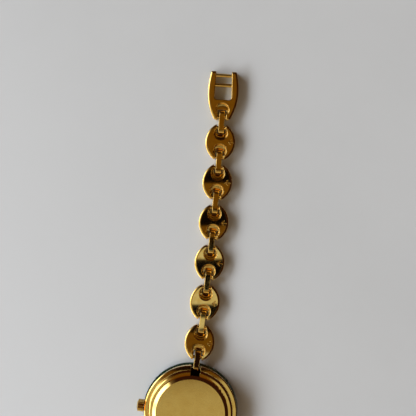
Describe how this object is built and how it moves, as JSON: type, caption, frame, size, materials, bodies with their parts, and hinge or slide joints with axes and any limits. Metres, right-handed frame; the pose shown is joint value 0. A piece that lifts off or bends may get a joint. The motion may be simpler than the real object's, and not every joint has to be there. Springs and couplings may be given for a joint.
{
  "type": "bracelet watch",
  "caption": "ladies' bracelet watch with a round stepped case and a hinged anchor-link bracelet that closes with a lever hook on a ladder",
  "frame": {"origin": "centre of the crystal's flat outer face, on which the watch lies", "axes": "+Z out through the case back, +Y along the 12 o'clock strand, -X towards the crown"},
  "size_m": [0.0277, 0.1905, 0.0062],
  "materials": {
    "gold_plate": "polished gold plating on brass, finely scratched by wear",
    "bezel_lacquer": "glossy dark green lacquer",
    "crystal": "clear polished mineral glass",
    "seal_rubber": "smooth black seal rubber",
    "dial_lacquer": "satin ivory lacquer with gilt markers",
    "hand_gilt": "polished gilt",
    "holder_plastic": "moulded white plastic",
    "plate_brass": "fine sandblasted gilt",
    "bridge_nickel": "grained nickel plating",
    "screw_steel": "polished steel",
    "board_laminate": "green solder mask",
    "coil_copper": "enamelled copper winding",
    "stator_iron": "satin soft iron",
    "rotor_magnet": "dull magnet",
    "wheel_brass": "circular grained brass",
    "cell_steel": "bright stainless steel",
    "clamp_bronze": "spring bronze",
    "stem_steel": "turned steel"
  },
  "bodies": {
    "case": {"case_middle": "gold_plate", "case_back": "gold_plate", "back_gasket": "seal_rubber", "bezel_ring": "bezel_lacquer", "crystal": "crystal", "crystal_gasket": "seal_rubber", "dial": "dial_lacquer", "movement_ring": "holder_plastic", "main_plate": "plate_brass", "train_bridge": "bridge_nickel", "bridge_screws": "screw_steel", "circuit_board": "board_laminate", "coil": "coil_copper", "stator": "stator_iron", "battery": "cell_steel", "battery_clamp": "clamp_bronze", "crown_tube": "stem_steel", "end_bars": "stem_steel"},
    "minute_train": {"centre_wheel": "wheel_brass", "minute_hand": "hand_gilt"},
    "hour_train": {"hour_wheel": "wheel_brass", "hour_hand": "hand_gilt"},
    "minute_wheel": {"minute_wheel": "wheel_brass"},
    "third_wheel": {"third_wheel": "wheel_brass"},
    "rotor": {"rotor": "rotor_magnet"},
    "clutch": {"sliding_pinion": "stem_steel"},
    "crown_and_stem": {"crown": "gold_plate", "stem": "stem_steel"},
    "setting_lever": {"setting_lever": "stem_steel"},
    "connector_a1": {"connector_a1": "gold_plate"},
    "link_a1": {"link_a1": "gold_plate"},
    "connector_a2": {"connector_a2": "gold_plate"},
    "link_a2": {"link_a2": "gold_plate"},
    "connector_a3": {"connector_a3": "gold_plate"},
    "link_a3": {"link_a3": "gold_plate"},
    "connector_a4": {"connector_a4": "gold_plate"},
    "link_a4": {"link_a4": "gold_plate"},
    "connector_a5": {"connector_a5": "gold_plate"},
    "link_a5": {"link_a5": "gold_plate"},
    "connector_a6": {"connector_a6": "gold_plate"},
    "link_a6": {"link_a6": "gold_plate"},
    "connector_a7": {"connector_a7": "gold_plate"},
    "ladder": {"ladder_frame": "gold_plate", "ladder_bars": "gold_plate"},
    "connector_b1": {"connector_b1": "gold_plate"},
    "link_b1": {"link_b1": "gold_plate"},
    "connector_b2": {"connector_b2": "gold_plate"},
    "link_b2": {"link_b2": "gold_plate"},
    "connector_b3": {"connector_b3": "gold_plate"},
    "link_b3": {"link_b3": "gold_plate"},
    "connector_b4": {"connector_b4": "gold_plate"},
    "link_b4": {"link_b4": "gold_plate"},
    "connector_b5": {"connector_b5": "gold_plate"},
    "link_b5": {"link_b5": "gold_plate"},
    "connector_b6": {"connector_b6": "gold_plate"},
    "link_b6": {"link_b6": "gold_plate"},
    "connector_b7": {"connector_b7": "gold_plate"},
    "clasp": {"clasp_frame": "gold_plate", "clasp_pin": "gold_plate"},
    "lever": {"clasp_lever": "gold_plate"}
  },
  "joints": [
    {"name": "strand_a_hinge_1", "type": "hinge", "parent": "case", "child": "connector_a1", "pos_m": [0, 0.0121, 0.0029], "axis": [1, 0, 0], "range_deg": [0, 95]},
    {"name": "strand_a_hinge_2", "type": "hinge", "parent": "connector_a1", "child": "link_a1", "pos_m": [0.00005, 0.01477, 0.00177], "axis": [-0.9999, 0.0105, 0], "range_deg": [-30, 30]},
    {"name": "strand_a_hinge_3", "type": "hinge", "parent": "link_a1", "child": "connector_a2", "pos_m": [0.00013, 0.02295, 0.0012], "axis": [0.9999, -0.0105, 0], "range_deg": [-30, 30]},
    {"name": "strand_a_hinge_4", "type": "hinge", "parent": "connector_a2", "child": "link_a2", "pos_m": [0.00014, 0.02585, 0.00115], "axis": [-1, -0.0035, 0], "range_deg": [-30, 30]},
    {"name": "strand_a_hinge_5", "type": "hinge", "parent": "link_a2", "child": "connector_a3", "pos_m": [0.00011, 0.03405, 0.00115], "axis": [1, 0.0035, 0], "range_deg": [-30, 30]},
    {"name": "strand_a_hinge_6", "type": "hinge", "parent": "connector_a3", "child": "link_a3", "pos_m": [0.00008, 0.03695, 0.00115], "axis": [-0.9998, -0.0175, 0], "range_deg": [-30, 30]},
    {"name": "strand_a_hinge_7", "type": "hinge", "parent": "link_a3", "child": "connector_a4", "pos_m": [-0.00006, 0.04515, 0.00115], "axis": [0.9998, 0.0175, 0], "range_deg": [-30, 30]},
    {"name": "strand_a_hinge_8", "type": "hinge", "parent": "connector_a4", "child": "link_a4", "pos_m": [-0.00013, 0.04805, 0.00115], "axis": [-0.9995, -0.0314, 0], "range_deg": [-30, 30]},
    {"name": "strand_a_hinge_9", "type": "hinge", "parent": "link_a4", "child": "connector_a5", "pos_m": [-0.00039, 0.05624, 0.00115], "axis": [0.9995, 0.0314, 0], "range_deg": [-30, 30]},
    {"name": "strand_a_hinge_10", "type": "hinge", "parent": "connector_a5", "child": "link_a5", "pos_m": [-0.0005, 0.05914, 0.00115], "axis": [-0.999, -0.0454, 0], "range_deg": [-30, 30]},
    {"name": "strand_a_hinge_11", "type": "hinge", "parent": "link_a5", "child": "connector_a6", "pos_m": [-0.00087, 0.06733, 0.00115], "axis": [0.999, 0.0454, 0], "range_deg": [-30, 30]},
    {"name": "strand_a_hinge_12", "type": "hinge", "parent": "connector_a6", "child": "link_a6", "pos_m": [-0.00102, 0.07023, 0.00115], "axis": [-0.9982, -0.0593, 0], "range_deg": [-30, 30]},
    {"name": "strand_a_hinge_13", "type": "hinge", "parent": "link_a6", "child": "connector_a7", "pos_m": [-0.00151, 0.07841, 0.00115], "axis": [0.9982, 0.0593, 0], "range_deg": [-30, 30]},
    {"name": "strand_a_hinge_14", "type": "hinge", "parent": "connector_a7", "child": "ladder", "pos_m": [-0.0017, 0.08131, 0.00115], "axis": [-0.9973, -0.0732, 0], "range_deg": [-30, 30]},
    {"name": "strand_b_hinge_1", "type": "hinge", "parent": "case", "child": "connector_b1", "pos_m": [0, -0.0121, 0.0029], "axis": [-1, 0, 0], "range_deg": [0, 95]},
    {"name": "strand_b_hinge_2", "type": "hinge", "parent": "connector_b1", "child": "link_b1", "pos_m": [0, -0.01477, 0.00177], "axis": [1, -0.0035, 0], "range_deg": [-30, 30]},
    {"name": "strand_b_hinge_3", "type": "hinge", "parent": "link_b1", "child": "connector_b2", "pos_m": [-0.00003, -0.02295, 0.0012], "axis": [-1, 0.0035, 0], "range_deg": [-30, 30]},
    {"name": "strand_b_hinge_4", "type": "hinge", "parent": "connector_b2", "child": "link_b2", "pos_m": [-0.00005, -0.02585, 0.00115], "axis": [0.9999, -0.0105, 0], "range_deg": [-30, 30]},
    {"name": "strand_b_hinge_5", "type": "hinge", "parent": "link_b2", "child": "connector_b3", "pos_m": [-0.00013, -0.03405, 0.00115], "axis": [-0.9999, 0.0105, 0], "range_deg": [-30, 30]},
    {"name": "strand_b_hinge_6", "type": "hinge", "parent": "connector_b3", "child": "link_b3", "pos_m": [-0.00018, -0.03695, 0.00115], "axis": [0.9998, -0.0175, 0], "range_deg": [-30, 30]},
    {"name": "strand_b_hinge_7", "type": "hinge", "parent": "link_b3", "child": "connector_b4", "pos_m": [-0.00032, -0.04515, 0.00115], "axis": [-0.9998, 0.0175, 0], "range_deg": [-30, 30]},
    {"name": "strand_b_hinge_8", "type": "hinge", "parent": "connector_b4", "child": "link_b4", "pos_m": [-0.00038, -0.04805, 0.00115], "axis": [0.9997, -0.0244, 0], "range_deg": [-30, 30]},
    {"name": "strand_b_hinge_9", "type": "hinge", "parent": "link_b4", "child": "connector_b5", "pos_m": [-0.00058, -0.05624, 0.00115], "axis": [-0.9997, 0.0244, 0], "range_deg": [-30, 30]},
    {"name": "strand_b_hinge_10", "type": "hinge", "parent": "connector_b5", "child": "link_b5", "pos_m": [-0.00066, -0.05914, 0.00115], "axis": [0.9995, -0.0314, 0], "range_deg": [-30, 30]},
    {"name": "strand_b_hinge_11", "type": "hinge", "parent": "link_b5", "child": "connector_b6", "pos_m": [-0.00092, -0.06734, 0.00115], "axis": [-0.9995, 0.0314, 0], "range_deg": [-30, 30]},
    {"name": "strand_b_hinge_12", "type": "hinge", "parent": "connector_b6", "child": "link_b6", "pos_m": [-0.00102, -0.07024, 0.00115], "axis": [0.9993, -0.0384, 0], "range_deg": [-30, 30]},
    {"name": "strand_b_hinge_13", "type": "hinge", "parent": "link_b6", "child": "connector_b7", "pos_m": [-0.00133, -0.07843, 0.00115], "axis": [-0.9993, 0.0384, 0], "range_deg": [-30, 30]},
    {"name": "strand_b_hinge_14", "type": "hinge", "parent": "connector_b7", "child": "clasp", "pos_m": [-0.00146, -0.08133, 0.00115], "axis": [0.999, -0.0454, 0], "range_deg": [-30, 30]},
    {"name": "clasp_lever_hinge", "type": "hinge", "parent": "clasp", "child": "lever", "pos_m": [-0.00197, -0.09267, 0.00115], "axis": [0.999, -0.0454, 0], "range_deg": [0, 110]},
    {"name": "minute_hand_turn", "type": "hinge", "parent": "case", "child": "minute_train", "pos_m": [0, 0, 0.0036], "axis": [0, 0, 1], "continuous": true},
    {"name": "hour_hand_turn", "type": "hinge", "parent": "case", "child": "hour_train", "pos_m": [0, 0, 0.0036], "axis": [0, 0, 1], "continuous": true},
    {"name": "minute_wheel_turn", "type": "hinge", "parent": "case", "child": "minute_wheel", "pos_m": [-0.00207, -0.00075, 0.0036], "axis": [0, 0, 1], "continuous": true},
    {"name": "third_wheel_turn", "type": "hinge", "parent": "case", "child": "third_wheel", "pos_m": [-0.00112, 0.00194, 0.0036], "axis": [0, 0, 1], "continuous": true},
    {"name": "rotor_turn", "type": "hinge", "parent": "case", "child": "rotor", "pos_m": [-0.00031, 0.00347, 0.0036], "axis": [0, 0, 1], "continuous": true},
    {"name": "crown_turn", "type": "hinge", "parent": "case", "child": "clutch", "pos_m": [-0.0049, 0, 0.0032], "axis": [-1, 0, 0], "continuous": true},
    {"name": "crown_pull", "type": "slide", "parent": "clutch", "child": "crown_and_stem", "axis": [-1, 0, 0], "range_m": [0, 0.0006]},
    {"name": "setting_lever_turn", "type": "hinge", "parent": "case", "child": "setting_lever", "pos_m": [-0.0064, -0.002, 0.0036], "axis": [0, 0, 1], "range_deg": [0, 18]}
  ],
  "couplings": [
    {"joint": "hour_hand_turn", "follows": "minute_hand_turn", "ratio": 0.083333},
    {"joint": "minute_wheel_turn", "follows": "minute_hand_turn", "ratio": -0.33333},
    {"joint": "third_wheel_turn", "follows": "minute_hand_turn", "ratio": -6},
    {"joint": "rotor_turn", "follows": "minute_hand_turn", "ratio": 30},
    {"joint": "setting_lever_turn", "follows": "crown_pull", "rad_per_m": 500}
  ]
}
